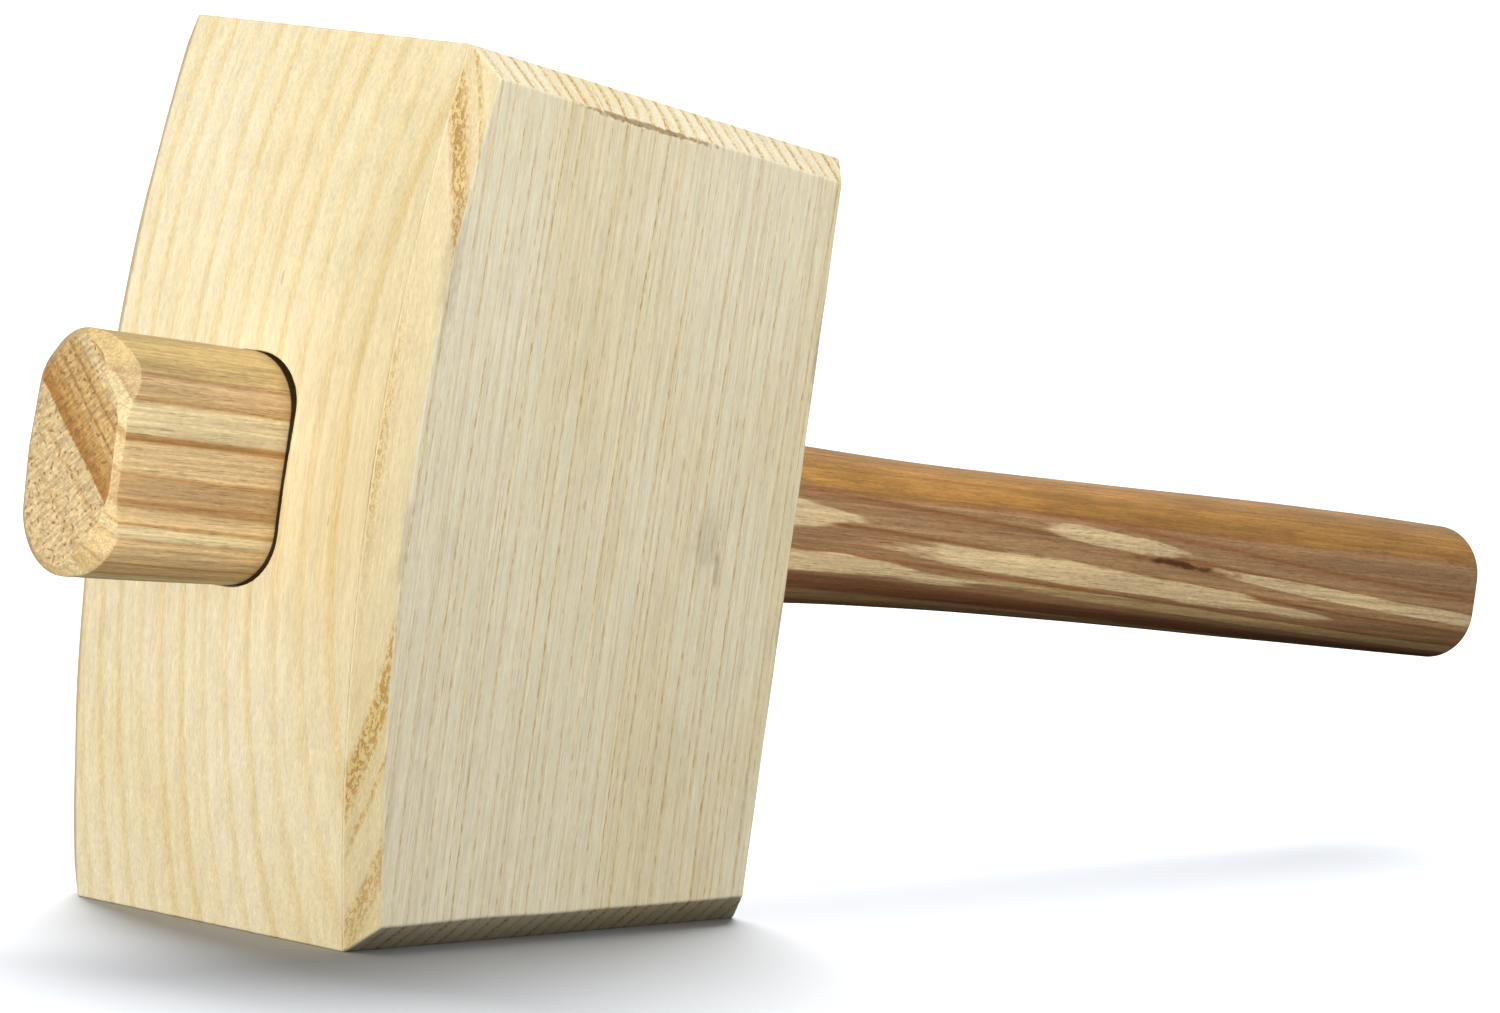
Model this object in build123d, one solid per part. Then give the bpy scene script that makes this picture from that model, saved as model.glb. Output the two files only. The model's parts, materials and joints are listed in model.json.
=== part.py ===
from build123d import *
import os
from math import radians, sqrt, tan

# Joiner's mallet: a one-piece wooden head on a wooden handle that is wedged through it.
#
# Both pieces are drawn in a bench frame: X runs along the handle towards the hand and is 0 at the
# head's shoulder face, Y runs across the head and is 0 midway between the cheeks, and Z runs from one
# striking face to the other and is 0 midway. The last step turns the mallet so that it stands on its
# lower striking face, with that face's centre at the origin and +Z up. All lengths are millimetres.

os.makedirs("parts", exist_ok=True)

# Head
HEAD_LENGTH = 140.0          # between the striking faces, at the ends of the arched face
HEAD_DEPTH = 100.0           # from the shoulder face to the ends of the arched face
HEAD_WIDTH = 63.5            # across the cheeks
ARCH_RADIUS = 280.0          # of the arched face that looks away from the hand
STRIKE_TAPER = 4.0           # degrees, lean of each striking face towards the handle's axis
CHEEK_CHAMFER = 4.4          # 45 degrees, along all four edges of each cheek

# Handle
HANDLE_WIDTH = 19.2          # across, the same from end to end
HANDLE_CORNER = 9.4          # radius of its four long corners
CROWN_REACH = 38.0           # the handle stands out of the arched face by this much
GRIP_REACH = 259.0           # from the shoulder face to the butt
WAIST_REACH = 60.0           # from the shoulder face to the waist in front of the hand
PALM_REACH = 130.0           # from the shoulder face to the middle of the grip
CROWN_CHAMFER = 2.0          # around the end that stands out of the arch
BUTT_ROUND = 2.4             # around the end at the hand

# Fit of the handle in its mortise
BEARING_GAP = 0.05           # above and below the handle, where the taper bears
SIDE_GAP = 0.5               # on each side, where it doesn't
MORTISE_CORNER = 9.0         # radius of the mortise's four corners

half_length = HEAD_LENGTH / 2
half_shoulder = half_length - HEAD_DEPTH * tan(radians(STRIKE_TAPER))
arch_rise = ARCH_RADIUS - sqrt(ARCH_RADIUS**2 - half_length**2)
arch_crest = -(HEAD_DEPTH + arch_rise)

# The handle is tall at its crown end and tapers through the head to a slimmer grip, and its middle
# bows up a little towards the palm: (distance from the shoulder face, section height, middle's height).
stations = [
    (arch_crest - CROWN_REACH, 37.6, 0.6),
    (arch_crest, 36.4, 0.8),
    (0.0, 29.8, 1.2),
    (WAIST_REACH, 26.1, 1.5),
    (PALM_REACH, 25.5, 1.9),
    (GRIP_REACH, 25.8, 1.8),
]


def head_block():
    """The head before its mortise: arched on one side, tapered, with chamfered cheeks."""
    with BuildPart() as block:
        with BuildSketch(Plane.XZ):
            with BuildLine():
                shoulder = Line((0, half_shoulder), (0, -half_shoulder))
                lower = Line(shoulder @ 1, (-HEAD_DEPTH, -half_length))
                arch = ThreePointArc(lower @ 1, (arch_crest, 0), (-HEAD_DEPTH, half_length))
                Line(arch @ 1, shoulder @ 0)
            make_face()
        extrude(amount=HEAD_WIDTH / 2, both=True)
        cheeks = block.faces().filter_by(Axis.Y)
        chamfer(cheeks.edges(), CHEEK_CHAMFER)
    return block.part


def tapered_stock(width, corner, gap=0.0):
    """The handle's long shape before its ends are dressed, taller by the gap above and below."""
    with BuildPart() as stock:
        with BuildSketch(Plane.XZ):
            with BuildLine():
                upper = Spline(*[(x, middle + height / 2 + gap) for x, height, middle in stations])
                under = Spline(*[(x, middle - height / 2 - gap) for x, height, middle in stations])
                Line(upper @ 0, under @ 0)
                Line(upper @ 1, under @ 1)
            make_face()
        extrude(amount=width / 2, both=True)
        long_edges = stock.edges().filter_by(lambda edge: edge.length > GRIP_REACH)
        fillet(long_edges, corner)
    return stock.part


def dressed_handle():
    """The handle with a chamfered crown end and a softly rounded butt."""
    with BuildPart() as handle:
        add(tapered_stock(HANDLE_WIDTH, HANDLE_CORNER))
        crown = handle.faces().filter_by(Axis.X).sort_by(Axis.X)[0]
        chamfer(crown.edges(), CROWN_CHAMFER)
        butt = handle.faces().filter_by(Axis.X).sort_by(Axis.X)[-1]
        fillet(butt.edges(), BUTT_ROUND)
    return handle.part


def mortised_head():
    """The head with the tapered mortise that the handle is wedged in."""
    with BuildPart() as head:
        add(head_block())
        mortise = tapered_stock(HANDLE_WIDTH + 2 * SIDE_GAP, MORTISE_CORNER, BEARING_GAP)
        add(mortise, mode=Mode.SUBTRACT)
    return head.part


# Stand the mallet on its lower striking face: the face's centre goes to the origin, and the turn about
# Y lays the face level, so the handle falls by STRIKE_TAPER towards the butt.
standing = Rot(0, STRIKE_TAPER, 0) * Pos(HEAD_DEPTH / 2, 0, (half_length + half_shoulder) / 2)

for name, piece in {"head": mortised_head(), "handle": dressed_handle()}.items():
    export_step(standing * piece, f"parts/{name}.step")
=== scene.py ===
import json
import math

import bmesh
import bpy
import numpy as np
from mathutils import Matrix, Quaternion, Vector, noise
from mathutils.bvhtree import BVHTree


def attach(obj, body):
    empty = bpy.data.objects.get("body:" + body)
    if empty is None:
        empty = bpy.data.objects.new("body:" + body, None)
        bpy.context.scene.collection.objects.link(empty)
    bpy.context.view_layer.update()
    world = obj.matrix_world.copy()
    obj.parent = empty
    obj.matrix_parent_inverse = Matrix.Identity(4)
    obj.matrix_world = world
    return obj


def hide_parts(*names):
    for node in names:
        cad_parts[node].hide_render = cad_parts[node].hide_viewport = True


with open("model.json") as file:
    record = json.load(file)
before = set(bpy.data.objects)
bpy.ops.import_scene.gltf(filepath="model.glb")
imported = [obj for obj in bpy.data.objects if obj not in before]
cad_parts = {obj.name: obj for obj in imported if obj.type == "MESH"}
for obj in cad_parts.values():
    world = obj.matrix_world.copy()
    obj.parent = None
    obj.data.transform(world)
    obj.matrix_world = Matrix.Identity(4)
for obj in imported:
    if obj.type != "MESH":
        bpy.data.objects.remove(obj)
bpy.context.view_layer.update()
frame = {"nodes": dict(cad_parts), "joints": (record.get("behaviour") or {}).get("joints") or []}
MM = 0.001

# ---------------------------------------------------------------------------------------------
# The bench frame, in millimetres: x runs along the handle from the shoulder face towards the
# hand, y across the mallet and z between the striking faces. The mallet stands on one striking
# face, so this frame is turned by the taper of that face. Everything below is built in it.
# ---------------------------------------------------------------------------------------------
draw = np.array(frame["joints"][0]["axis"], float)
AXES = np.array([-draw, (0, 1, 0), np.cross(-draw, (0, 1, 0))])
taper = math.asin(draw[2])


def turned_points(node):
    """The corners of a CAD node's mesh, in millimetres, turned into the bench frame."""
    return np.array([v.co for v in frame["nodes"][node].data.vertices]) @ AXES.T / MM


head_points = turned_points("head")
middle_height = (head_points[:, 2].min() + head_points[:, 2].max()) / 2
ORIGIN = np.array([head_points[:, 0].max(), 0, middle_height])
head_points = head_points - ORIGIN
handle_points = turned_points("handle") - ORIGIN


def to_row(points):
    """Bench millimetres to metres in the CAD's own frame."""
    return (np.asarray(points, float) + ORIGIN) @ AXES * MM


# Sizes of the head and the handle, read from their CAD solids.
half_width = head_points[:, 1].max()
half_length = head_points[:, 2].max()
corners = head_points[head_points[:, 2] > half_length - 0.01]
corner_x = corners[:, 0].mean()
half_flat = corners[:, 1].max()
chamfer = half_width - half_flat
crest_x = head_points[:, 0].min()
sag = corner_x - crest_x
arch_radius = (half_length**2 + sag**2) / (2 * sag)
crown_x = handle_points[:, 0].min()
butt_x = handle_points[:, 0].max()
handle_half_width = handle_points[:, 1].max()

# Small sizes that the CAD leaves out or rounds off, in millimetres.
HEAD_SOFTNESS, HANDLE_SOFTNESS = 0.28, 0.18
MORTISE_CORNER = 9.0
MOUTH_GAP_SIDE, MOUTH_GAP_CORNER = 0.04, 0.44
HANDLE_CORNER = handle_half_width - 0.2
BUTT_ROUND = 2.4
TEAR_START, TEAR_END = -74.0, -42.0
TEAR_DEPTH, TEAR_REACH = 0.9, 1.6
# How far the hand-planed edges and the handle's surface wander, and how long the waves are.
CHAMFER_WANDER, CHAMFER_WAVE, EDGE_WAVE = 0.22, 13.0, 16.0
HANDLE_WANDER, HANDLE_WAVES = 0.09, np.array((34, 9, 9))
# How much narrower the handle is at its top and bottom, as a share of its width.
HANDLE_BARREL = 0.035
# Edges sharper than the first angle are softened, and those sharper than the second stay crisp.
SOFTENED_ANGLE, CRISP_ANGLE = math.radians(28), math.radians(38)


def arch_face(z):
    return crest_x + arch_radius - np.sqrt(arch_radius**2 - z**2)


def strike_height(x):
    return half_length - (x - corner_x) * math.tan(taper)


def wave(*place, seed=0.0):
    """Smooth noise from about -1 to 1 at a place."""
    spot = [*place, 0.0, 0.0][:3]
    return noise.noise(Vector(spot) + Vector((seed, 2.7 * seed, -1.3 * seed)))


def waves(points, sizes, seed=0.0):
    """Smooth noise at many places, with a bump size for each direction."""
    return np.array([wave(*(p / sizes), seed=seed) for p in points])


def edge_wander(places, seed, size=CHAMFER_WAVE):
    """How far a hand-planed edge wanders at places along it, in millimetres."""
    return np.array([wave(p / size, seed=seed) for p in places]) * CHAMFER_WANDER


def spaced(count, crowding):
    """Numbers from 0 to 1, closer together towards both ends."""
    t = np.linspace(0, 1, count)
    return t - crowding * np.sin(2 * math.pi * t) / (2 * math.pi)


def rounded_outline(directions, half_wide, half_high, corner):
    """Where rays from the middle of a rounded rectangle meet its outline."""
    near = np.zeros(len(directions))
    far = np.full(len(directions), half_wide + half_high)
    for _ in range(40):
        reach = (near + far) / 2
        beyond = np.abs(directions * reach[:, None]) - (half_wide - corner, half_high - corner)
        distance = np.linalg.norm(np.maximum(beyond, 0), axis=1) + np.minimum(beyond.max(1), 0)
        near = np.where(distance > corner, near, reach)
        far = np.where(distance > corner, reach, far)
    return directions * near[:, None]


def mesh_of_loops(name, loops, closed):
    """A skin over a row of closed loops of points, each loop joined to the next."""
    count = len(loops[0])
    mesh = bpy.data.meshes.new(name)
    faces = []
    for i in range(len(loops) - (0 if closed else 1)):
        this, following = i * count, (i + 1) % len(loops) * count
        for k in range(count):
            after = (k + 1) % count
            faces.append((this + k, this + after, following + after, following + k))
    mesh.from_pydata(to_row(np.concatenate(loops)).tolist(), [], faces)
    shape = bmesh.new()
    shape.from_mesh(mesh)
    bmesh.ops.remove_doubles(shape, verts=shape.verts, dist=0.01 * MM)
    bmesh.ops.dissolve_degenerate(shape, edges=shape.edges, dist=0.002 * MM)
    bmesh.ops.recalc_face_normals(shape, faces=shape.faces)
    return mesh, shape


def soften_edges(shape, width):
    sharp = [e for e in shape.edges if e.is_manifold and e.calc_face_angle() > SOFTENED_ANGLE]
    bmesh.ops.bevel(
        shape, geom=sharp, offset=width * MM, segments=2, profile=0.5,
        affect="EDGES", clamp_overlap=False,
    )


def finished_piece(name, mesh, shape):
    shape.to_mesh(mesh)
    shape.free()
    mesh.polygons.foreach_set("use_smooth", [True] * len(mesh.polygons))
    mesh.set_sharp_from_angle(angle=CRISP_ANGLE)
    piece = bpy.data.objects.new(name, mesh)
    bpy.context.scene.collection.objects.link(piece)
    return piece


# ---------------------------------------------------------------------------------------------
# The head: one skin of loops that starts at the mortise's mouth in the arch, spreads over the
# arch, runs back along the striking faces and cheeks, closes in over the shoulder face and
# returns through the mortise.
# ---------------------------------------------------------------------------------------------
CHEEK_COLUMNS, FACE_COLUMNS, CHAMFER_COLUMNS = 84, 40, 2
FRONT_SEED, BODY_SEED, BACK_SEED = 4.2, 9.1, 7.7


def mouth_size(points):
    """Half width, half height and middle height of the mortise, from its outline's points."""
    low, high = points.min(0), points.max(0)
    return (high[1] - low[1]) / 2, (high[2] - low[2]) / 2, (high[2] + low[2]) / 2


near_middle = np.abs(head_points[:, 1:]) < (half_flat / 2, half_length / 2)
in_mouth = near_middle.all(axis=1)
on_arch = np.abs(head_points[:, 0] - arch_face(head_points[:, 2])) < 0.05
front_mouth = mouth_size(head_points[in_mouth & on_arch])
back_mouth = mouth_size(head_points[in_mouth & (head_points[:, 0] > -0.01)])


class Around:
    """One loop round the head: near cheek, chamfer, upper face, chamfer, far cheek, and so on."""

    cheek = spaced(CHEEK_COLUMNS + 1, 0.72)[:-1] * 2 - 1
    face = spaced(FACE_COLUMNS + 1, 0.72)[:-1] * 2 - 1
    corner = np.linspace(0, 1, CHAMFER_COLUMNS + 1)[:-1]

    @staticmethod
    def loop(cheek_at, face_at):
        """cheek_at gives x, |y| and z for shares from -1 to 1 of the height, and face_at gives
        x, y and |z| for shares of the width."""

        def points(at, shares, side, axis):
            spot = np.stack(np.broadcast_arrays(*at(np.atleast_1d(shares))), axis=1)
            spot[:, axis] *= side
            return spot

        sides = []
        for side in (-1.0, 1.0):
            cheek = points(cheek_at, Around.cheek * -side, side, 1)
            cheek_end = points(cheek_at, -side, side, 1)
            face = points(face_at, Around.face * -side, -side, 2)
            face_end = points(face_at, -side, -side, 2)
            next_cheek = points(cheek_at, -side, -side, 1)
            share = Around.corner[:, None]
            into = cheek_end + (face[:1] - cheek_end) * share
            out = face_end + (next_cheek - face_end) * share
            sides += [cheek, into, face, out]
        return np.concatenate(sides)


def front_loop(depth):
    """A loop on the chamfer between arch and cheeks, depth 0 at the arch and 1 at the cheek."""
    cut = chamfer * depth

    def cheek_at(share):
        z = share * (half_length - cut)
        x = arch_face(z) + cut
        z = share * (strike_height(x) - cut)
        wander = edge_wander(z, FRONT_SEED) * depth
        return arch_face(z) + cut + wander, half_flat + cut, z

    def face_at(share):
        x = corner_x + cut
        return x, share * half_flat, strike_height(x)

    return Around.loop(cheek_at, face_at)


def body_loop(share_back, front):
    """A loop round cheeks and striking faces, from the arch's chamfer at a share of 0 to the
    shoulder's at 1. front says where the cheeks start."""
    back_x = -chamfer

    def run(x):
        return x + (back_x - x) * share_back

    def cheek_at(share):
        start = np.interp(share, front[0], front[1])
        x = run(start)
        trim = edge_wander(x, BODY_SEED, EDGE_WAVE)
        return x, half_width, share * (strike_height(x) - chamfer - trim)

    def face_at(share):
        x = run(corner_x + chamfer)
        return x, share * half_flat, strike_height(x)

    return Around.loop(cheek_at, face_at)


def back_loop(depth):
    """A loop on the chamfer between cheeks and shoulder face, depth 1 at the cheek."""
    cut = chamfer * depth

    def cheek_at(share):
        z = share * (strike_height(-cut) - cut)
        wander = edge_wander(z, BACK_SEED) * depth
        return -cut - wander, half_flat + cut, z

    def face_at(share):
        return -cut, share * half_flat, strike_height(-cut)

    return Around.loop(cheek_at, face_at)


def mouth_loop(rim, mouth, seed):
    """The mortise's outline, with a point on the way to each point of the face's rim."""
    half_wide, half_high, middle = mouth
    way = rim[:, 1:] - (0, middle)
    way = way / np.linalg.norm(way, axis=1)[:, None]
    outline = rounded_outline(way, half_wide, half_high, MORTISE_CORNER)
    upper = np.clip((outline[:, 1] / half_high + 0.2) * 1.2, 0, 1)
    ragged = np.array([abs(wave(*(p / 0.9), seed=seed)) for p in outline])
    loose = np.array([max(0.0, wave(*(p / 7), seed=seed + 3)) for p in outline])
    near = np.clip(-1.25 * outline[:, 0] / half_wide, 0, 1)
    high = np.clip(1.5 * outline[:, 1] / half_high, 0, 1)
    gap = near * (MOUTH_GAP_SIDE + MOUTH_GAP_CORNER * high)
    outline = outline + way * (gap + ragged * (0.12 + 0.4 * upper * loose))[:, None]
    return outline + (0, middle)


def cheek_starts():
    """Where the cheeks start behind the arch's chamfer, for shares of the height."""
    shares = np.linspace(-1, 1, 200)
    z = shares * (half_length - chamfer)
    return shares, arch_face(z) + chamfer + edge_wander(z, FRONT_SEED)


def body_shares():
    """How far back each loop of the body lies, as shares, with more loops along the tear."""
    start = corner_x + chamfer
    length = -chamfer - start
    tear = np.linspace(TEAR_START, TEAR_END, 70)
    stops = np.sort(np.concatenate([spaced(66, 0.72), (tear - corner_x - chamfer) / length]))
    apart = np.concatenate([[True], np.diff(stops) > 0.002])
    return stops[apart][1:-1]


def head_loops():
    rim = front_loop(0)
    mouth = mouth_loop(rim, front_mouth, 11.0)
    loops = []
    for share in spaced(30, 0.78)[:-1]:
        yz = mouth + (rim[:, 1:] - mouth) * share
        loops.append(np.c_[arch_face(yz[:, 1]), yz])
    loops += [front_loop(depth) for depth in (0, 0.12, 0.5, 0.88, 1)]
    front = cheek_starts()
    loops += [body_loop(share, front) for share in body_shares()]
    loops += [back_loop(depth) for depth in (1, 0.88, 0.5, 0.12, 0)]
    rim_back = loops[-1]
    mouth_back = mouth_loop(rim_back, back_mouth, 17.0)
    for share in spaced(26, 0.78)[1:]:
        yz = rim_back[:, 1:] + (mouth_back - rim_back[:, 1:]) * share
        loops.append(np.c_[np.zeros(len(yz)), yz])
    for share in spaced(36, 0.7)[1:-1]:
        yz = mouth_back + (mouth - mouth_back) * share
        loops.append(np.c_[arch_face(yz[:, 1]) * share, yz])
    return loops


def tear_out(points):
    """Breaks a ragged sliver out of the near cheek, just under the upper chamfer's edge."""
    x, y, z = points.T
    below = strike_height(x) - chamfer - z
    along = np.clip((x - TEAR_START) / (TEAR_END - TEAR_START), 0, 1)
    strength = np.sin(math.pi * along) ** 0.6
    torn = (y < -half_width + 0.01) & (below < TEAR_REACH) & (strength > 0.01)
    for i in np.where(torn)[0]:
        ragged = 0.55 + 0.9 * wave(x[i] / 1.7, below[i] / 2, seed=21)
        fine = 0.5 * wave(x[i] / 0.7, below[i], seed=25)
        width = strength[i] * max(0.0, ragged + fine)
        inside = np.clip(1 - max(0.0, below[i]) / max(width, 0.05), 0, 1)
        points[i, 1] += TEAR_DEPTH * strength[i] * inside**0.7
        points[i, 2] -= 0.25 * strength[i] * max(0.0, ragged) * (below[i] < 0.3)
    return points


def build_head():
    loops = head_loops()
    count = len(loops[0])
    points = tear_out(np.concatenate(loops))
    mesh, shape = mesh_of_loops("mallet_head", np.split(points, len(points) // count), True)
    soften_edges(shape, HEAD_SOFTNESS)
    return finished_piece("mallet_head", mesh, shape)


# ---------------------------------------------------------------------------------------------
# The handle: loops along its length, through heights measured on the CAD solid.
# ---------------------------------------------------------------------------------------------
AROUND_HANDLE, ALONG_HANDLE = 132, 250
angles = np.linspace(0, 2 * math.pi, AROUND_HANDLE, endpoint=False)
# Width of the hand-cut chamfer round the crown end, by angle from the far side over the top.
CROWN_CHAMFER_ANGLES = (0, 45, 90, 118, 140, 149, 155, 163, 197, 206, 213, 245, 270, 315)
CROWN_CHAMFER_WIDTHS = (1.4, 2.3, 1.1, 2.4, 3.6, 3.2, 1.7, 1.1, 1.0, 1.8, 3.0, 2.8, 1.4, 2.2)
# The crown's chamfer ends within this distance of its end face.
CROWN_CUT = 4.0


def handle_heights():
    """Stations along the handle with its upper and lower height at each."""
    source = frame["nodes"]["handle"].data
    corners_mm = [Vector(p) for p in handle_points]
    tree = BVHTree.FromPolygons(corners_mm, [p.vertices for p in source.polygons])
    stations = np.linspace(crown_x + 3, butt_x - 6, 15)
    heights = []
    for x in stations:
        top = tree.ray_cast(Vector((x, 0.05, 60)), Vector((0, 0, -1)))[0]
        low = tree.ray_cast(Vector((x, 0.05, -60)), Vector((0, 0, 1)))[0]
        heights.append((top.z, low.z))
    return stations, np.array(heights)


def smooth_curve(stations, values):
    """A cubic curve through a few measured values."""
    slopes = np.gradient(values, stations)

    def at(x):
        i = int(np.clip(np.searchsorted(stations, x) - 1, 0, len(stations) - 2))
        step = stations[i + 1] - stations[i]
        t = (x - stations[i]) / step
        if not 0 <= t <= 1:
            edge = 0 if t < 0 else 1
            return values[i + edge] + slopes[i + edge] * (x - stations[i + edge])
        rise = values[i] * (2 * t**3 - 3 * t**2 + 1) + values[i + 1] * (3 * t**2 - 2 * t**3)
        return rise + step * (slopes[i] * (t**3 - 2 * t**2 + t) + slopes[i + 1] * (t**3 - t**2))

    return at


class HandleShape:
    """The handle's outline at any place along it, through the heights of its CAD solid."""

    def __init__(self):
        stations, heights = handle_heights()
        self.top = smooth_curve(stations, heights[:, 0])
        self.low = smooth_curve(stations, heights[:, 1])

    def section(self, x, inset=0.0):
        """The outline at x, drawn in by inset (one value, or one for each column), and the
        direction outwards at each of its points."""
        half_high = (self.top(x) - self.low(x)) / 2
        middle = (self.top(x) + self.low(x)) / 2
        way = np.c_[np.cos(angles) * handle_half_width, np.sin(angles) * half_high]
        way = way / np.linalg.norm(way, axis=1)[:, None]
        outline = rounded_outline(way, handle_half_width, half_high, HANDLE_CORNER)
        outline[:, 0] *= 1 - HANDLE_BARREL * (outline[:, 1] / half_high) ** 2
        run = np.roll(outline, -1, axis=0) - np.roll(outline, 1, axis=0)
        outward = np.c_[run[:, 1], -run[:, 0]] / np.linalg.norm(run, axis=1)[:, None]
        outline = outline - outward * np.broadcast_to(inset, len(angles))[:, None]
        return outline + (0, middle), outward


def loop_at(x, outline):
    """A loop of an outline's points at x (one value, or one for each point)."""
    return np.c_[np.broadcast_to(x, len(outline)), outline]


def cap_loops(x, rim, shares):
    """Loops over an end face, each a share of its rim's size."""
    middle = rim.mean(0)
    return [loop_at(x, middle + (rim - middle) * share) for share in shares]


def crown_loops(shape):
    """The crown's end face and the hand-cut chamfer round it."""
    degrees = np.degrees(angles)
    widths = np.interp(degrees, CROWN_CHAMFER_ANGLES, CROWN_CHAMFER_WIDTHS, period=360)
    uneven = [0.18 * wave(3 * math.cos(a), 3 * math.sin(a), seed=31) for a in angles]
    widths = widths + np.array(uneven)
    rim, _ = shape.section(crown_x, widths)
    loops = cap_loops(crown_x, rim, (0, 0.25, 0.5, 0.72, 0.88, 0.97, 1))
    for share in (0.2, 0.5, 0.8, 1):
        outline, _ = shape.section(crown_x + CROWN_CUT / 2, widths * (1 - share))
        loops.append(loop_at(crown_x + widths * share, outline))
    return loops


def shaft_loops(shape):
    """The long run from the crown's chamfer to the butt, a little uneven from the hand."""
    start = crown_x + CROWN_CUT
    length = butt_x - BUTT_ROUND - start
    loops = []
    for x in start + spaced(ALONG_HANDLE, 0.3) * length:
        outline, outward = shape.section(x)
        uneven = waves(loop_at(x, outline), HANDLE_WAVES, seed=41) * HANDLE_WANDER
        loops.append(loop_at(x, outline + outward * uneven[:, None]))
    return loops


def butt_loops(shape):
    """The butt's rounded edge and its end face."""
    start = butt_x - BUTT_ROUND
    loops = []
    for turn in np.linspace(0, math.pi / 2, 9)[1:]:
        outline, _ = shape.section(start, BUTT_ROUND * (1 - math.cos(turn)))
        loops.append(loop_at(start + BUTT_ROUND * math.sin(turn), outline))
    return loops + cap_loops(butt_x, outline, (0.95, 0.82, 0.6, 0.3, 0))


def build_handle():
    shape = HandleShape()
    loops = crown_loops(shape) + shaft_loops(shape) + butt_loops(shape)
    mesh, skin = mesh_of_loops("mallet_handle", loops, False)
    soften_edges(skin, HANDLE_SOFTNESS)
    return finished_piece("mallet_handle", mesh, skin)


# ---------------------------------------------------------------------------------------------
# Materials
# ---------------------------------------------------------------------------------------------
class Nodes:
    """One material's nodes. Each method adds a node and returns its output."""

    def __init__(self, name):
        self.material = bpy.data.materials.new(name)
        self.material.use_nodes = True
        self.tree = self.material.node_tree
        self.shader = self.tree.nodes["Principled BSDF"]

    def add(self, kind, inputs, **settings):
        node = self.tree.nodes.new("ShaderNode" + kind)
        for name, value in settings.items():
            setattr(node, name, value)
        for key, value in inputs.items():
            self.feed(node.inputs[key], value)
        return node

    def feed(self, socket, value):
        if isinstance(value, bpy.types.NodeSocket):
            self.tree.links.new(value, socket)
        else:
            socket.default_value = value

    def math(self, operation, *values):
        return self.add("Math", dict(enumerate(values)), operation=operation).outputs[0]

    def split(self, place):
        return self.add("SeparateXYZ", {"Vector": place}).outputs

    def noise(self, place, scale, detail=2.0, roughness=0.5):
        inputs = {"Vector": place, "Scale": scale, "Detail": detail, "Roughness": roughness}
        return self.add("TexNoise", inputs).outputs["Fac"]

    def stretched(self, place, sizes):
        """The place divided by a size for each direction, so that noise has bumps that large."""
        scale = tuple(1 / s for s in sizes)
        return self.add("Mapping", {"Vector": place, "Scale": scale}).outputs[0]

    def grain_noise(self, place, sizes, detail=2.0, roughness=0.5):
        return self.noise(self.stretched(place, sizes), 1.0, detail, roughness)

    def band(self, value, start, end, low=0.0, high=1.0):
        """A smooth step: low up to start, high from end."""
        inputs = {"Value": value, 1: start, 2: end, 3: low, 4: high}
        node = self.add("MapRange", inputs, interpolation_type="SMOOTHSTEP")
        return node.outputs[0]

    def ramp(self, value, stops):
        node = self.add("ValToRGB", {"Fac": value})
        elements = node.color_ramp.elements
        while len(elements) < len(stops):
            elements.new(0.5)
        for element, (position, colour) in zip(elements, stops):
            element.position = position
            element.color = (*colour, 1.0)
        return node.outputs["Color"]

    def mix(self, share, first, second, blend="MIX"):
        colours = [(*c, 1.0) if isinstance(c, tuple) else c for c in (first, second)]
        inputs = {"Fac": share, "Color1": colours[0], "Color2": colours[1]}
        return self.add("MixRGB", inputs, blend_type=blend).outputs[0]

    def bench_place(self):
        """The place on the object in bench millimetres."""
        place = self.add("TexCoord", {}).outputs["Object"]
        turn = Matrix([list(a) for a in AXES]).to_euler()
        inputs = {"Vector": place, "Location": tuple(-ORIGIN), "Rotation": turn}
        inputs["Scale"] = (1 / MM,) * 3
        return self.add("Mapping", inputs).outputs[0]

    def facing(self, direction):
        """How far the surface faces a direction, from -1 to 1."""
        normal = self.add("TexCoord", {}).outputs["Normal"]
        node = self.add("VectorMath", {0: normal, 1: tuple(direction)}, operation="DOT_PRODUCT")
        return node.outputs["Value"]

    def centred(self, place, sizes, detail=2.0):
        """Noise from about -0.5 to 0.5 with bumps of these sizes."""
        return self.math("SUBTRACT", self.grain_noise(place, sizes, detail), 0.5)

    def spot(self, place, centre, sizes, ragged, soft):
        """1 inside an oval round a centre and 0 outside, with its edge moved by ragged."""
        scale = tuple(1 / s for s in sizes)
        shift = tuple(-c / s for c, s in zip(centre, sizes))
        inputs = {"Vector": place, "Scale": scale, "Location": shift}
        scaled = self.add("Mapping", inputs).outputs[0]
        away = self.add("VectorMath", {0: scaled}, operation="LENGTH").outputs["Value"]
        away = self.math("ADD", away, ragged)
        return self.band(away, 1 - soft, 1 + soft, 1.0, 0.0)

    def shade(self, colour, value, low, high, at_low, at_high):
        """Multiplies a colour by at_low up to a low value, and by at_high from a high one."""
        inputs = {"Value": value, 1: low, 2: high, 3: at_low, 4: at_high}
        factor = self.add("MapRange", inputs).outputs[0]
        return self.mix(1.0, colour, factor, "MULTIPLY")

    def bump(self, height, distance):
        inputs = {"Height": height, "Distance": distance, "Strength": 1.0}
        self.feed(self.shader.inputs["Normal"], self.add("Bump", inputs).outputs[0])


def grey(value):
    return (value, value, value)


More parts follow.
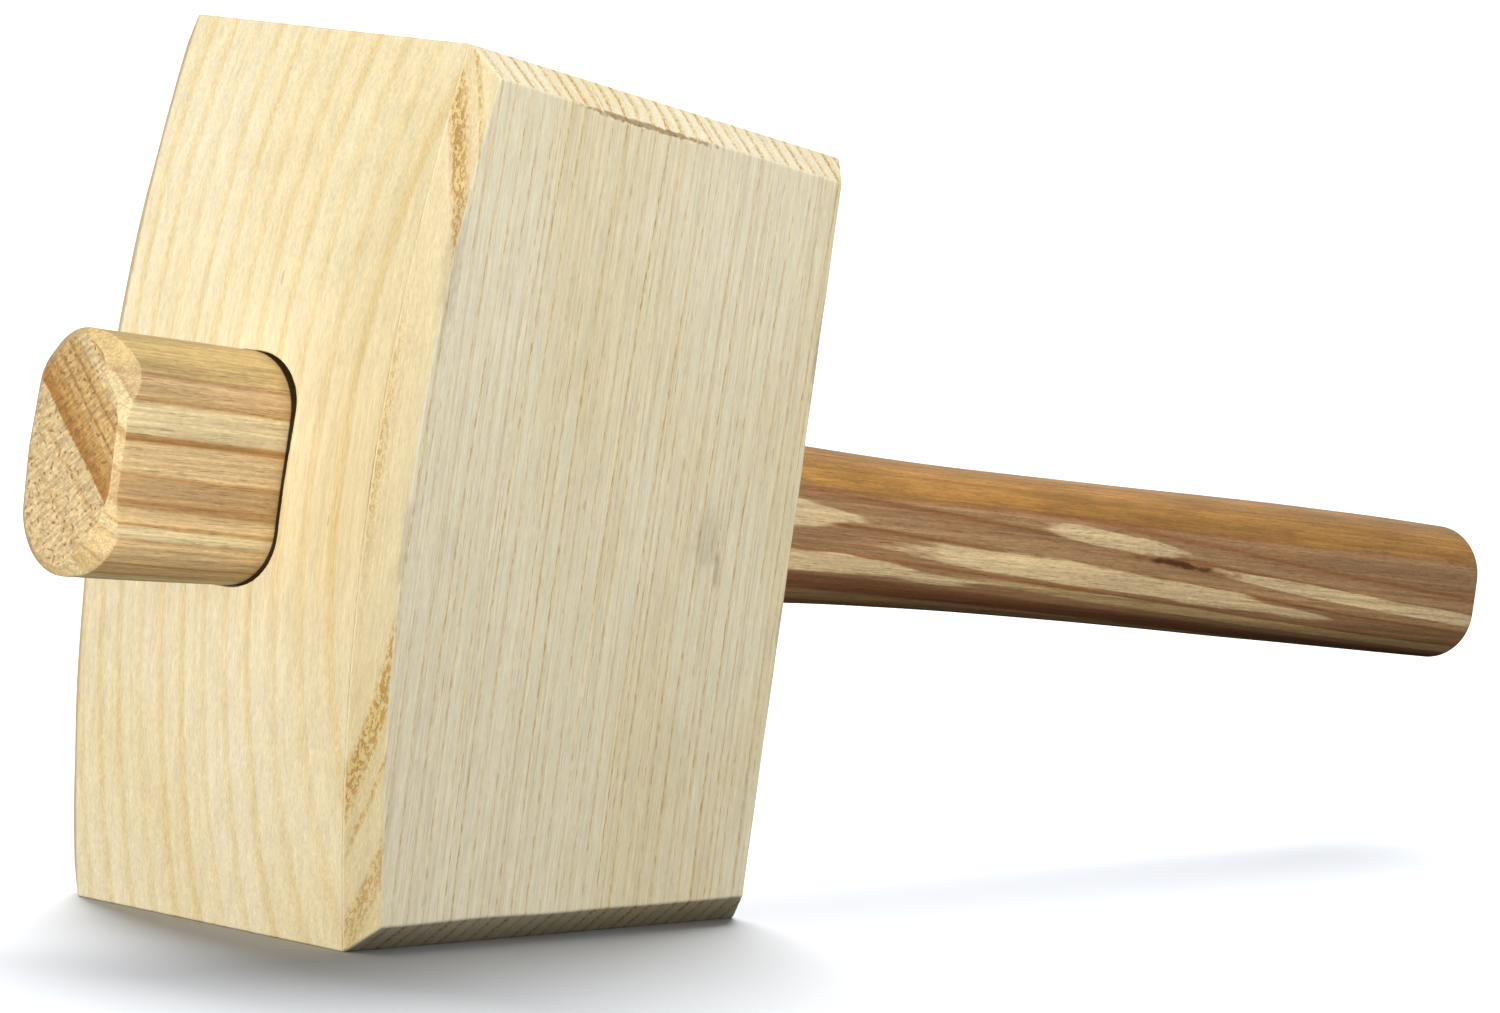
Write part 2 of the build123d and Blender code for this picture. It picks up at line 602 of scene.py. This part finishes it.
# The pith of the head's wood, which leans and bows, and the start and width of its rings, in
# millimetres.
PITH_X, PITH_Y = -143.0, -46.3
PITH_LEAN, PITH_BOW = -0.019, -0.0004
RING_START, RING_WIDTH = 42.0, 3.6
HEAD_PALE, HEAD_EARLY = (0.845, 0.737, 0.490), (0.785, 0.612, 0.292)
HEAD_PORE, HEAD_FINE_PORE = (0.52, 0.285, 0.065), (0.50, 0.34, 0.16)
HEAD_STRIPE, HEAD_FLECK = (0.66, 0.47, 0.24), (0.30, 0.20, 0.10)
HEAD_DIRT, HEAD_TORN_AND_SHADE = (0.34, 0.25, 0.14), (0.27, 0.16, 0.07)
# What a chamfer's early wood and the painted shade beside the crown multiply the colour by.
CHAMFER_TINT, CROWN_SHADE_TINT = (0.86, 0.79, 0.62), (0.88, 0.85, 0.735)


def growth_rings(net, place):
    """How far a place is through its year's ring, from 0 to 1, and the number of the year."""
    x, y, z = net.split(place)
    away_x = net.math("SUBTRACT", x, PITH_X)
    away_y = net.math("SUBTRACT", y, PITH_Y)
    squares = net.math("MULTIPLY_ADD", away_x, away_x, net.math("MULTIPLY", away_y, away_y))
    ring = net.math("MULTIPLY_ADD", z, PITH_LEAN, net.math("SQRT", squares))
    ring = net.math("MULTIPLY_ADD", net.math("MULTIPLY", z, z), PITH_BOW, ring)
    ring = net.math("MULTIPLY_ADD", net.centred(place, (34, 34, 240), 1.0), 2.4, ring)
    ring = net.math("MULTIPLY_ADD", net.centred(place, (6, 6, 60)), 0.7, ring)
    turns = net.math("MULTIPLY", net.math("SUBTRACT", ring, RING_START), 1 / RING_WIDTH)
    return net.math("FRACT", turns), net.math("FLOOR", turns)


def early_wood(net, place, arch, spread):
    """How much of a place is early wood, the brown porous zone at the start of each ring. It is
    thin on the cheeks and the shoulder face, and wide where spread says so."""
    share, year = growth_rings(net, place)
    thin = net.ramp(share, [
        (0.0, grey(0.9)), (0.04, grey(1.0)), (0.10, grey(0.85)), (0.16, grey(0.18)),
        (0.34, grey(0.05)), (0.6, grey(0.0)), (0.98, grey(0.0)), (1.0, grey(0.9)),
    ])
    wide = net.ramp(share, [
        (0.0, grey(0.8)), (0.05, grey(1.0)), (0.20, grey(0.85)), (0.33, grey(0.15)),
        (0.6, grey(0.0)), (0.92, grey(0.0)), (1.0, grey(0.8)),
    ])
    vigour = net.math("COSINE", net.math("MULTIPLY_ADD", year, 1.9, 0.5))
    vigour = net.math("MULTIPLY_ADD", vigour, 0.22, 0.78)
    thin = net.math("MULTIPLY", thin, vigour)
    wide = net.math("MULTIPLY", wide, vigour)

    # Some years have a second thin zone.
    second = net.ramp(share, [
        (0.47, grey(0)), (0.49, grey(0.8)), (0.54, grey(0.7)), (0.58, grey(0)),
    ])
    twice = net.band(net.math("COSINE", net.math("MULTIPLY", year, 2.4)), 0.0, 0.8)
    thin = net.math("MAXIMUM", thin, net.math("MULTIPLY", second, twice))
    patches = net.grain_noise(place, (5.0, 5.0, 26.0), 2.0, 0.6)
    thin = net.math("MULTIPLY", thin, net.band(patches, 0.32, 0.60, 0.42, 1.0))
    thin = net.math("MULTIPLY", thin, net.math("MULTIPLY_ADD", arch, -0.45, 0.8))
    return net.math("MAXIMUM", thin, net.math("MULTIPLY", wide, spread))


def head_pores(net, place, arch, cut):
    """Pores, which are fainter on the arch and coarse where the fibres are cut across."""
    fine = net.band(net.grain_noise(place, (0.26, 0.26, 2.4), 1.0, 0.6), 0.50, 0.61)
    fine = net.math("MULTIPLY", fine, net.math("MULTIPLY_ADD", arch, -0.70, 1.0))
    coarse = net.band(net.grain_noise(place, (0.42, 0.42, 1.0), 2.0, 0.7), 0.48, 0.55)
    return net.math("MULTIPLY_ADD", cut, net.math("SUBTRACT", coarse, fine), fine)


def head_figure(net, place, colour, fibre, arch, spread):
    """Streaks, brown stripes, fibres, grit, mottling, clouds, flecks, painted shade by the crown.
    """
    streak = net.grain_noise(place, (0.9, 0.9, 38.0), 3.0, 0.6)
    colour = net.shade(colour, streak, 0.28, 0.72, 0.945, 1.05)
    stripe = net.band(net.grain_noise(place, (0.62, 0.62, 130.0), 2.0, 0.6), 0.52, 0.66)
    stripe = net.math("MULTIPLY", stripe, net.math("MULTIPLY_ADD", spread, -0.7, 1.0))
    colour = net.mix(net.math("MULTIPLY", stripe, 0.34), colour, HEAD_STRIPE)
    colour = net.shade(colour, fibre, 0.28, 0.72, 0.87, 1.10)
    grit = net.grain_noise(place, (0.45, 0.45, 1.2), 2.0, 0.7)
    colour = net.shade(colour, grit, 0.30, 0.70, 0.95, 1.045)
    mottle = net.grain_noise(place, (1.6, 1.6, 10.0), 2.0, 0.55)
    colour = net.shade(colour, mottle, 0.30, 0.70, 0.955, 1.04)
    cloud = net.ramp(net.grain_noise(place, (22, 22, 60), 2.0, 0.5), [
        (0.35, (0.97, 0.945, 0.88)), (0.5, grey(1.0)), (0.68, (1.01, 1.02, 1.06)),
    ])
    colour = net.mix(1.0, colour, cloud, "MULTIPLY")
    fleck = net.band(net.grain_noise(place, (2.4, 2.4, 9.0), 2.0, 0.6), 0.76, 0.80)
    colour = net.mix(net.math("MULTIPLY", fleck, 0.35), colour, HEAD_FLECK)
    # Painted shade: the arch beside the crown's near side is painted darker and warmer.
    crown_shade = net.spot(place, (-107, -24, 22), (14, 12, 44), 0.0, 0.6)
    warmer = net.mix(1.0, colour, CROWN_SHADE_TINT, "MULTIPLY")
    return net.mix(net.math("MULTIPLY", crown_shade, arch), colour, warmer)


def head_wood():
    """Pale ring-porous wood: growth rings round a pith outside the block, grain along z."""
    net = Nodes("head_wood")
    place = net.bench_place()

    # The fibres are cut across by the chamfers and the striking faces, which face neither along
    # the handle nor across the mallet. The arch has broad, faint rings.
    along_x = net.math("ABSOLUTE", net.facing(AXES[0]))
    along_y = net.math("ABSOLUTE", net.facing(AXES[1]))
    cut = net.band(net.math("MAXIMUM", along_x, along_y), 0.80, 0.90, 1.0, 0.0)
    arch = net.band(along_x, 0.80, 0.95)
    faint = net.math("MULTIPLY_ADD", arch, -0.35, 1.0)
    spread = net.math("MULTIPLY", net.math("MAXIMUM", cut, arch), faint)

    early = early_wood(net, place, arch, spread)
    pore = head_pores(net, place, arch, cut)
    porous = net.math("MULTIPLY", pore, early)
    fibre = net.grain_noise(place, (0.15, 0.15, 5.0), 2.0, 0.65)
    colour = net.mix(early, HEAD_PALE, HEAD_EARLY)
    colour = net.mix(net.math("MULTIPLY", porous, 0.92), colour, HEAD_PORE)
    yellow = net.math("MULTIPLY", cut, net.band(along_x, 0.3, 0.6, 0.0, 0.8))
    colour = net.mix(yellow, colour, net.mix(1.0, colour, CHAMFER_TINT, "MULTIPLY"))
    colour = net.mix(net.math("MULTIPLY", pore, 0.05), colour, HEAD_FINE_PORE)
    colour = head_figure(net, place, colour, fibre, arch, spread)
    colour = head_marks(net, place, colour)

    net.feed(net.shader.inputs["Base Color"], colour)
    net.feed(net.shader.inputs["Roughness"], net.band(porous, 0.0, 1.0, 0.58, 0.80))
    net.shader.inputs["Specular IOR Level"].default_value = 0.28
    relief = net.math("MULTIPLY_ADD", porous, -1.0, net.math("MULTIPLY", fibre, 0.7))
    net.bump(relief, 0.00006)
    return net.material


def head_marks(net, place, colour):
    """Handling marks on the near cheek and its chamfers: dirt, a smudge and a torn edge, whose
    dark colour is partly the torn fibres and partly painted shade in its recess.
    """
    x, y, z = net.split(place)
    ragged = net.math("MULTIPLY", net.centred(place, (1.6, 1.6, 2.4)), 1.8)
    high_edge, low_edge = [float(arch_face(height)) + chamfer for height in (36.0, -7.0)]
    marks = [
        ((-28, -half_width, -1), (3.5, 2, 5.0), 0.26),
        ((-24, -half_width, -6), (0.5, 2, 3.0), 0.50),
        ((high_edge, -half_width, 36), (1.9, 1.2, 11), 0.30),
        ((low_edge, -half_width, -7), (0.6, 0.5, 6), 0.35),
        ((-chamfer, -half_width, 31), (0.9, 1.0, 8), 0.55),
        ((-chamfer, -half_width, -14), (0.8, 1.0, 5), 0.35),
    ]
    for centre, sizes, strength in marks:
        mark = net.spot(place, centre, sizes, ragged, 0.5)
        colour = net.mix(net.math("MULTIPLY", mark, strength), colour, HEAD_DIRT)

    # The tear follows the cheek's upper edge, which slopes with the striking face.
    height = net.math("MULTIPLY_ADD", x, math.tan(taper), z)
    sloping = net.add("CombineXYZ", {0: x, 1: y, 2: height}).outputs[0]
    middle = ((TEAR_START + TEAR_END) / 2, -half_width, strike_height(0) - chamfer - 0.35)
    reach = ((TEAR_END - TEAR_START) / 2, 1.4, 0.55)
    splinter = net.math("MULTIPLY", net.centred(place, (1.5, 1.5, 0.8)), 1.5)
    torn = net.spot(sloping, middle, reach, splinter, 0.3)
    # The tear's dark colour is partly the torn fibres and partly painted shade in its recess.
    return net.mix(net.math("MULTIPLY", torn, 0.8), colour, HEAD_TORN_AND_SHADE)


# Colours of the handle's bands: paler and warmer where it stands out of the arch.
CROWN_PALE, CROWN_TAN = (0.60, 0.475, 0.255), (0.585, 0.410, 0.198)
CROWN_BROWN, CROWN_OLIVE = (0.47, 0.300, 0.132), (0.595, 0.415, 0.202)
CROWN_LINE, CROWN_DARK = (0.37, 0.190, 0.055), (0.385, 0.215, 0.078)
GRIP_PALE, GRIP_TAN = (0.735, 0.545, 0.283), (0.430, 0.250, 0.113)
GRIP_BROWN, GRIP_OLIVE = (0.365, 0.194, 0.086), (0.56, 0.375, 0.160)
GRIP_LINE, GRIP_DARK = (0.29, 0.115, 0.036), (0.23, 0.095, 0.038)
# Painted light: the warm colours of the top-facing surfaces of the crown and the grip.
CROWN_LIT_TOP, GRIP_LIT_TOP = (0.505, 0.347, 0.134), (0.420, 0.198, 0.038)
END_PALE, END_TAN = (0.53, 0.40, 0.215), (0.465, 0.310, 0.128)
END_BROWN, END_DARK = (0.39, 0.228, 0.074), (0.30, 0.148, 0.036)
BAND_RANGE = 24.0

# Where each band starts, in millimetres across the grain, and its colour.
CROWN_BANDS = (
    (-24, CROWN_TAN), (-17, CROWN_TAN), (-16.5, CROWN_LINE), (-16, CROWN_OLIVE),
    (-12.6, CROWN_OLIVE), (-12.2, CROWN_PALE), (-10, CROWN_PALE), (-9.6, CROWN_BROWN),
    (-7.4, CROWN_TAN), (-6.9, CROWN_LINE), (-6.5, CROWN_OLIVE), (-3.2, CROWN_OLIVE),
    (-2.8, CROWN_BROWN), (-2.4, CROWN_PALE), (-1.3, CROWN_PALE), (-0.9, CROWN_LINE),
    (-0.5, CROWN_TAN), (0.7, CROWN_TAN), (0.95, CROWN_DARK), (1.5, CROWN_DARK),
    (2.3, CROWN_BROWN), (3.9, CROWN_BROWN), (4.1, CROWN_LINE), (4.5, CROWN_TAN),
    (7.3, CROWN_TAN), (7.7, CROWN_LINE), (8.2, CROWN_LINE), (8.5, CROWN_PALE),
    (11.3, CROWN_PALE), (11.55, CROWN_LINE), (11.9, CROWN_BROWN), (14.5, CROWN_OLIVE),
)
GRIP_BANDS = (
    (-24, GRIP_TAN), (-15, GRIP_TAN), (-14.6, GRIP_LINE), (-14.2, GRIP_BROWN), (-11.4, GRIP_BROWN),
    (-11, GRIP_PALE), (-8.6, GRIP_PALE), (-8.2, GRIP_LINE), (-7.8, GRIP_TAN), (-4, GRIP_BROWN),
    (-3.6, GRIP_LINE), (-3.2, GRIP_TAN), (-0.5, GRIP_TAN), (0, GRIP_DARK), (2.5, GRIP_DARK),
    (3.2, GRIP_BROWN), (6.0, GRIP_BROWN), (6.3, GRIP_LINE), (6.7, GRIP_BROWN), (9.4, GRIP_BROWN),
    (9.75, GRIP_LINE), (10.2, GRIP_TAN), (12.5, GRIP_BROWN), (12.9, GRIP_LINE), (13.3, GRIP_TAN),
    (14.8, GRIP_BROWN), (15.1, GRIP_LINE), (15.5, GRIP_BROWN), (19, GRIP_TAN),
)
END_BANDS = (
    (-24, END_TAN), (-12, END_PALE), (-8.2, END_PALE), (-7.8, END_TAN), (-7.2, END_PALE),
    (-3.4, END_PALE), (-3.0, END_TAN), (-2.4, END_PALE), (-0.2, END_PALE), (0.05, END_DARK),
    (1.2, END_DARK), (2.4, END_BROWN), (3.6, END_BROWN), (4.0, END_TAN), (4.6, END_TAN),
    (4.8, END_DARK), (5.3, END_TAN), (7.0, END_TAN), (7.2, END_DARK), (7.7, END_TAN),
    (8.8, END_TAN), (9.1, END_PALE), (11.0, END_PALE), (11.4, END_BROWN), (14, END_TAN),
)
# Pale flames in the grip: middle along the handle and across the grain, and half sizes.
PALE_FLAMES = (
    (8, 4.7, 76, 1.5), (124, 8.4, 72, 1.55), (128, 13.5, 25, 0.9), (234, 12.1, 74, 0.85),
    (21, 10.6, 23, 1.6),
)
# The bands lean across the section, by the cosine and sine of an angle of about 47 degrees, and
# slant and bow along the handle.
LEAN_COS, LEAN_SIN = 0.68, 0.73
BAND_SLANT, BAND_BOW = 0.018, 0.00004
# The handle's upper height at its crown and at its thinnest, in millimetres.
CROWN_HEIGHT, GRIP_HEIGHT = 19.6, 13.75
KNOT_COLOUR, DOT_COLOUR = (0.09, 0.032, 0.009), (0.20, 0.085, 0.02)
# The second colour on the next line is painted shade for the gap at the mortise's mouth.
HANDLE_PORE, SEAT_SHADE = (0.22, 0.11, 0.045), (0.042, 0.024, 0.014)


def band_place(net, place):
    """Places along the handle, across its bands and along them, and the one across alone."""
    x, y, z = net.split(place)
    across = net.math("MULTIPLY_ADD", z, LEAN_COS, net.math("MULTIPLY", y, -LEAN_SIN))
    across = net.math("MULTIPLY_ADD", x, BAND_SLANT, across)
    across = net.math("MULTIPLY_ADD", net.math("MULTIPLY", x, x), BAND_BOW, across)
    across = net.math("MULTIPLY_ADD", net.centred(place, (150, 22, 22), 1.0), 1.2, across)
    across = net.math("MULTIPLY_ADD", net.centred(place, (30, 3.5, 3.5)), 0.5, across)
    along = net.math("MULTIPLY_ADD", z, LEAN_SIN, net.math("MULTIPLY", y, LEAN_COS))
    return net.add("CombineXYZ", {0: x, 1: across, 2: along}).outputs[0], across


def grip_figure(net, grain, grip):
    """An olive streak and pale flames over the grip's bands."""
    ragged = net.centred(grain, (26, 1.1, 4.0), 3.0)
    olive = net.spot(grain, (200, 5.2, 0), (130, 1.0, 60), ragged, 0.2)
    grip = net.mix(olive, grip, GRIP_OLIVE)
    uneven = net.math("MULTIPLY", ragged, 1.1)
    for middle, level, long, wide in PALE_FLAMES:
        flame = net.spot(grain, (middle, level, 0), (long, wide, 60), uneven, 0.12)
        grip = net.mix(net.math("MULTIPLY", flame, 0.92), grip, GRIP_PALE)
    return grip


def knot(net, place, grain, colour):
    """A small dark knot in the near side of the grip, with a brown halo."""
    twisted = net.math("MULTIPLY", net.centred(place, (4, 1.2, 1.2)), 2.2)
    halo = net.spot(grain, (151, 12.1, -4.0), (20, 0.60, 7), twisted, 0.5)
    colour = net.mix(net.math("MULTIPLY", halo, 0.75), colour, GRIP_LINE)
    core = net.spot(grain, (149, 12.1, -4.0), (11, 0.36, 5), twisted, 0.4)
    return net.mix(net.math("MULTIPLY", core, 0.92), colour, KNOT_COLOUR)


def painted_top_light(net, place, colour):
    """The upper side is painted warmer, and brighter towards its top edge, as painted light on the
    top-facing surfaces; it is also polished by the hand. The second value says where it is."""
    x, _, z = net.split(place)
    top = net.band(x, -160, 75, CROWN_HEIGHT, GRIP_HEIGHT)
    depth = net.math("SUBTRACT", top, z)
    depth = net.math("MULTIPLY_ADD", net.centred(place, (60, 5, 5)), 1.6, depth)
    edge = net.math("MULTIPLY", net.band(depth, 5.2, 5.7), net.band(depth, 5.7, 6.3, 1.0, 0.0))
    upper = net.band(depth, 5.3, 5.9, 1.0, 0.0)
    # Painted light on the top-facing surfaces, painted brighter towards the top edge.
    lit_top = net.mix(net.band(x, -20, 40), CROWN_LIT_TOP, GRIP_LIT_TOP)
    lit_top = net.shade(lit_top, depth, 1.0, 6.0, 1.20, 0.88)
    colour = net.mix(net.math("MULTIPLY", upper, 0.86), colour, lit_top)
    return net.mix(net.math("MULTIPLY", edge, 0.55), colour, GRIP_LINE), upper


def handle_figure(net, place, colour, fibre, pore, upper):
    """A wash over the upper side, lines, fibres, grit, clouds and pores."""
    wash = net.math("MULTIPLY", upper, net.centred(place, (26, 4, 4)))
    colour = net.shade(colour, wash, -0.18, 0.18, 0.84, 1.16)
    lines = net.grain_noise(place, (110.0, 0.75, 0.75), 3.0, 0.65)
    colour = net.shade(colour, lines, 0.32, 0.68, 0.74, 1.18)
    colour = net.shade(colour, fibre, 0.30, 0.70, 0.80, 1.16)
    grit = net.grain_noise(place, (1.6, 0.42, 0.42), 2.0, 0.7)
    colour = net.shade(colour, grit, 0.30, 0.70, 0.88, 1.11)
    cloud = net.grain_noise(place, (40, 9, 9), 2.0, 0.5)
    colour = net.shade(colour, cloud, 0.35, 0.65, 0.95, 1.05)
    return net.mix(net.math("MULTIPLY", pore, 0.38), colour, HANDLE_PORE)


def handle_ends(net, place, grain, colour, end_grain):
    """End grain is deeper in colour with rays across the rings; the crown's chamfer is sanded."""
    end_face = net.facing(-AXES[0])
    end = net.band(net.math("ABSOLUTE", end_face), 0.86, 0.95)
    rays = net.grain_noise(grain, (30, 3.5, 0.45), 2.0, 0.6)
    end_grain = net.shade(end_grain, rays, 0.38, 0.62, 0.78, 1.13)
    specks = net.grain_noise(grain, (30, 0.8, 0.8), 3.0, 0.7)
    end_grain = net.shade(end_grain, specks, 0.32, 0.68, 0.70, 1.22)
    dots = net.band(net.noise(place, 1.7, 0.0), 0.68, 0.74)
    end_grain = net.mix(net.math("MULTIPLY", dots, 0.75), end_grain, DOT_COLOUR)
    colour = net.mix(end, colour, end_grain)
    before_end = net.band(end_face, 0.86, 0.95, 1.0, 0.0)
    sanded = net.math("MULTIPLY", net.band(end_face, 0.25, 0.4), before_end)
    scratches = net.grain_noise(place, (4.0, 0.30, 0.30), 2.0, 0.6)
    scratched = net.shade(net.mix(0.35, colour, CROWN_PALE), scratches, 0.35, 0.65, 0.80, 1.12)
    return net.mix(sanded, colour, scratched)


def seat_shade(net, place, colour):
    """Painted shade on the handle just inside the mortise's mouth, which follows the arch."""
    x, _, z = net.split(place)
    inside = net.math("SUBTRACT", x, crest_x)
    bulge = net.math("MULTIPLY", z, z)
    inside = net.math("MULTIPLY_ADD", bulge, -0.5 / arch_radius, inside)
    seat = net.math("MULTIPLY", net.band(inside, 0.0, 0.3), net.band(inside, 2.2, 3.4, 1.0, 0.0))
    return net.mix(net.math("MULTIPLY", seat, 0.93), colour, SEAT_SHADE)


def handle_wood():
    """Tan and brown striped wood with its grain along x, bands slanting across the section."""
    net = Nodes("handle_wood")
    place = net.bench_place()
    grain, across = band_place(net, place)
    share = net.math("MULTIPLY_ADD", across, 0.5 / BAND_RANGE, 0.5)
    crown, grip, end_grain = [
        net.ramp(share, [(0.5 + 0.5 * mm / BAND_RANGE, tone) for mm, tone in bands])
        for bands in (CROWN_BANDS, GRIP_BANDS, END_BANDS)
    ]
    x = net.split(place)[0]
    colour = net.mix(net.band(x, -60, -40), crown, grip_figure(net, grain, grip))
    colour = knot(net, place, grain, colour)
    # Painted light on the top-facing surfaces.
    colour, upper = painted_top_light(net, place, colour)
    pore = net.band(net.grain_noise(place, (5.0, 0.20, 0.20), 1.0, 0.6), 0.62, 0.72)
    fibre = net.grain_noise(place, (9.0, 0.24, 0.24), 3.0, 0.65)
    colour = handle_figure(net, place, colour, fibre, pore, upper)
    colour = handle_ends(net, place, grain, colour, end_grain)
    # Painted shade just inside the mortise's mouth, where the gap between handle and head lies.
    colour = seat_shade(net, place, colour)

    net.feed(net.shader.inputs["Base Color"], colour)
    smooth = net.math("MULTIPLY_ADD", upper, -0.12, net.band(fibre, 0.3, 0.7, 0.52, 0.64))
    net.feed(net.shader.inputs["Roughness"], smooth)
    net.shader.inputs["Specular IOR Level"].default_value = 0.22
    relief = net.math("MULTIPLY_ADD", pore, -0.9, net.math("MULTIPLY", fibre, 0.8))
    net.bump(relief, 0.00005)
    return net.material


# ---------------------------------------------------------------------------------------------
# Stage, light and camera
# ---------------------------------------------------------------------------------------------
def make_floor():
    bpy.ops.mesh.primitive_plane_add(size=FLOOR_SIZE, location=(0, 0, 0))
    floor = bpy.context.object
    floor.name = "floor"
    paint = bpy.data.materials.new("floor_paper")
    paint.use_nodes = True
    shader = paint.node_tree.nodes["Principled BSDF"]
    shader.inputs["Base Color"].default_value = (*FLOOR_COLOUR, 1)
    shader.inputs["Roughness"].default_value = 1.0
    shader.inputs["Specular IOR Level"].default_value = 0.0
    floor.data.materials.append(paint)
    floor.visible_diffuse = False
    floor.visible_glossy = False
    return floor


def make_world():
    """White paper all round for the camera, and a soft sky from above for the light."""
    world = bpy.data.worlds.new("studio")
    bpy.context.scene.world = world
    world.use_nodes = True
    tree = world.node_tree
    background = tree.nodes["Background"]
    output = tree.nodes["World Output"]
    direction = tree.nodes.new("ShaderNodeTexCoord")
    split = tree.nodes.new("ShaderNodeSeparateXYZ")
    tree.links.new(direction.outputs["Generated"], split.inputs[0])
    sky = tree.nodes.new("ShaderNodeMapRange")
    tree.links.new(split.outputs["Z"], sky.inputs["Value"])
    # The sky brightens from the first of these heights to the second, round the horizon.
    for key, value in ((1, HORIZON[0]), (2, HORIZON[1]), (3, SKY_BELOW), (4, SKY_ABOVE)):
        sky.inputs[key].default_value = value
    tree.links.new(sky.outputs[0], background.inputs["Strength"])
    background.inputs["Color"].default_value = (*SKY_COLOUR, 1)
    paper = tree.nodes.new("ShaderNodeBackground")
    paper.inputs["Color"].default_value = (1, 1, 1, 1)
    paper.inputs["Strength"].default_value = PAPER_STRENGTH
    rays = tree.nodes.new("ShaderNodeLightPath")
    choose = tree.nodes.new("ShaderNodeMixShader")
    tree.links.new(rays.outputs["Is Camera Ray"], choose.inputs[0])
    tree.links.new(background.outputs[0], choose.inputs[1])
    tree.links.new(paper.outputs[0], choose.inputs[2])
    tree.links.new(choose.outputs[0], output.inputs["Surface"])


def make_sun(name, direction, strength, colour, softness, lit):
    """A soft distant light that comes from a direction and lights one collection's objects."""
    lamp = bpy.data.lights.new(name, "SUN")
    lamp.energy = strength * math.pi
    lamp.color = colour
    lamp.angle = math.radians(softness)
    light = bpy.data.objects.new(name, lamp)
    light.rotation_mode = "QUATERNION"
    light.rotation_quaternion = Vector(direction).to_track_quat("Z", "Y")
    light.light_linking.receiver_collection = lit
    bpy.context.scene.collection.objects.link(light)


def make_softbox(name, place, target, size, power, colour, lit, shades=None):
    """A square lamp at a place, aimed at a target, that lights one collection's objects. Only the
    objects of the shades collection throw its shadows, when there is one."""
    lamp = bpy.data.lights.new(name, "AREA")
    lamp.shape = "SQUARE"
    lamp.size = size
    lamp.energy = power
    lamp.color = colour
    light = bpy.data.objects.new(name, lamp)
    light.location = place
    light.rotation_mode = "QUATERNION"
    light.rotation_quaternion = (Vector(place) - Vector(target)).to_track_quat("Z", "Y")
    light.light_linking.receiver_collection = lit
    light.light_linking.blocker_collection = shades
    bpy.context.scene.collection.objects.link(light)


def make_camera():
    camera = bpy.data.objects.new("camera", bpy.data.cameras.new("camera"))
    camera.data.lens = VIEW_LENS
    camera.data.sensor_width = SENSOR_WIDTH
    camera.data.clip_end = VIEW_END
    turn, rise = math.radians(VIEW_TURN), math.radians(VIEW_RISE)
    level = math.cos(rise)
    back = Vector((math.sin(turn) * level, -math.cos(turn) * level, math.sin(rise)))
    aim = Vector(to_row(VIEW_AIM))
    camera.location = aim + back * VIEW_DISTANCE
    camera.rotation_mode = "QUATERNION"
    straight = (-back).to_track_quat("-Z", "Y")
    camera.rotation_quaternion = straight @ Quaternion((0, 0, 1), math.radians(VIEW_ROLL))
    bpy.context.scene.collection.objects.link(camera)
    bpy.context.scene.camera = camera


# The camera looks at a point just behind the shoulder face (bench millimetres), leaning a little.
VIEW_AIM = (26.5, 0.0, 3.6)
VIEW_TURN, VIEW_RISE, VIEW_ROLL = -53.97, 4.41, 5.6
VIEW_DISTANCE, VIEW_END = 1.1715, 300
VIEW_LENS, SENSOR_WIDTH = 165.7, 36
SKY_COLOUR = (0.96, 0.98, 1.0)
SKY_ABOVE, SKY_BELOW = 0.31, 0.02
HORIZON = (-0.08, 0.10)
PAPER_STRENGTH = 1.05
FLOOR_SIZE, FLOOR_COLOUR = 160, (0.585, 0.60, 0.625)

make_camera()
floor = make_floor()
make_world()
bpy.context.scene.view_settings.view_transform = "Standard"

head = build_head()
head.data.materials.append(head_wood())
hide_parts("head")
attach(head, "head")

handle = build_handle()
handle.data.materials.append(handle_wood())
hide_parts("handle")
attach(handle, "handle")

# The floor has its own lamp from behind, so that it stays white round a compact shadow, and the
# lamps on the mallet leave it alone. The crown throws no shadow on the arch, because only the
# head stands in the way of the key light. The side lamp lifts the grip's near side from below
# the floor, and there too only the head stands in its way.
on_mallet = bpy.data.collections.new("lit_mallet")
on_handle = bpy.data.collections.new("lit_handle")
shades = bpy.data.collections.new("key_shades")
on_floor = bpy.data.collections.new("lit_floor")
on_mallet.objects.link(head)
on_mallet.objects.link(handle)
on_floor.objects.link(floor)
on_handle.objects.link(handle)
shades.objects.link(head)
middle = (0.0, 0.0, 0.07)
make_softbox(
    "key", (-0.98, 0.22, 0.12), (-0.1, 0.0, 0.07), 0.62, 9.3, (1.0, 0.975, 0.935),
    on_mallet, shades,
)
make_softbox("fill", (-0.06, -0.58, 0.50), middle, 0.35, 4.9, (0.94, 0.975, 1.06), on_mallet)
make_softbox(
    "under", (-0.18, -0.08, 0.02), (-0.125, 0.0, 0.08), 0.08, 0.15, (1.0, 0.95, 0.86),
    on_handle,
)
make_softbox(
    "side", (0.15, -0.20, -0.02), (0.18, 0.0, 0.05), 0.24, 0.11, (1.0, 0.95, 0.88),
    on_handle, shades,
)
make_sun("back", (0.70, 0.60, 0.40), 0.16, (1.0, 0.97, 0.92), 60, on_mallet)
make_sun("floor", (0.52, 0.44, 0.70), 3.1, (1.0, 1.0, 1.0), 55, on_floor)
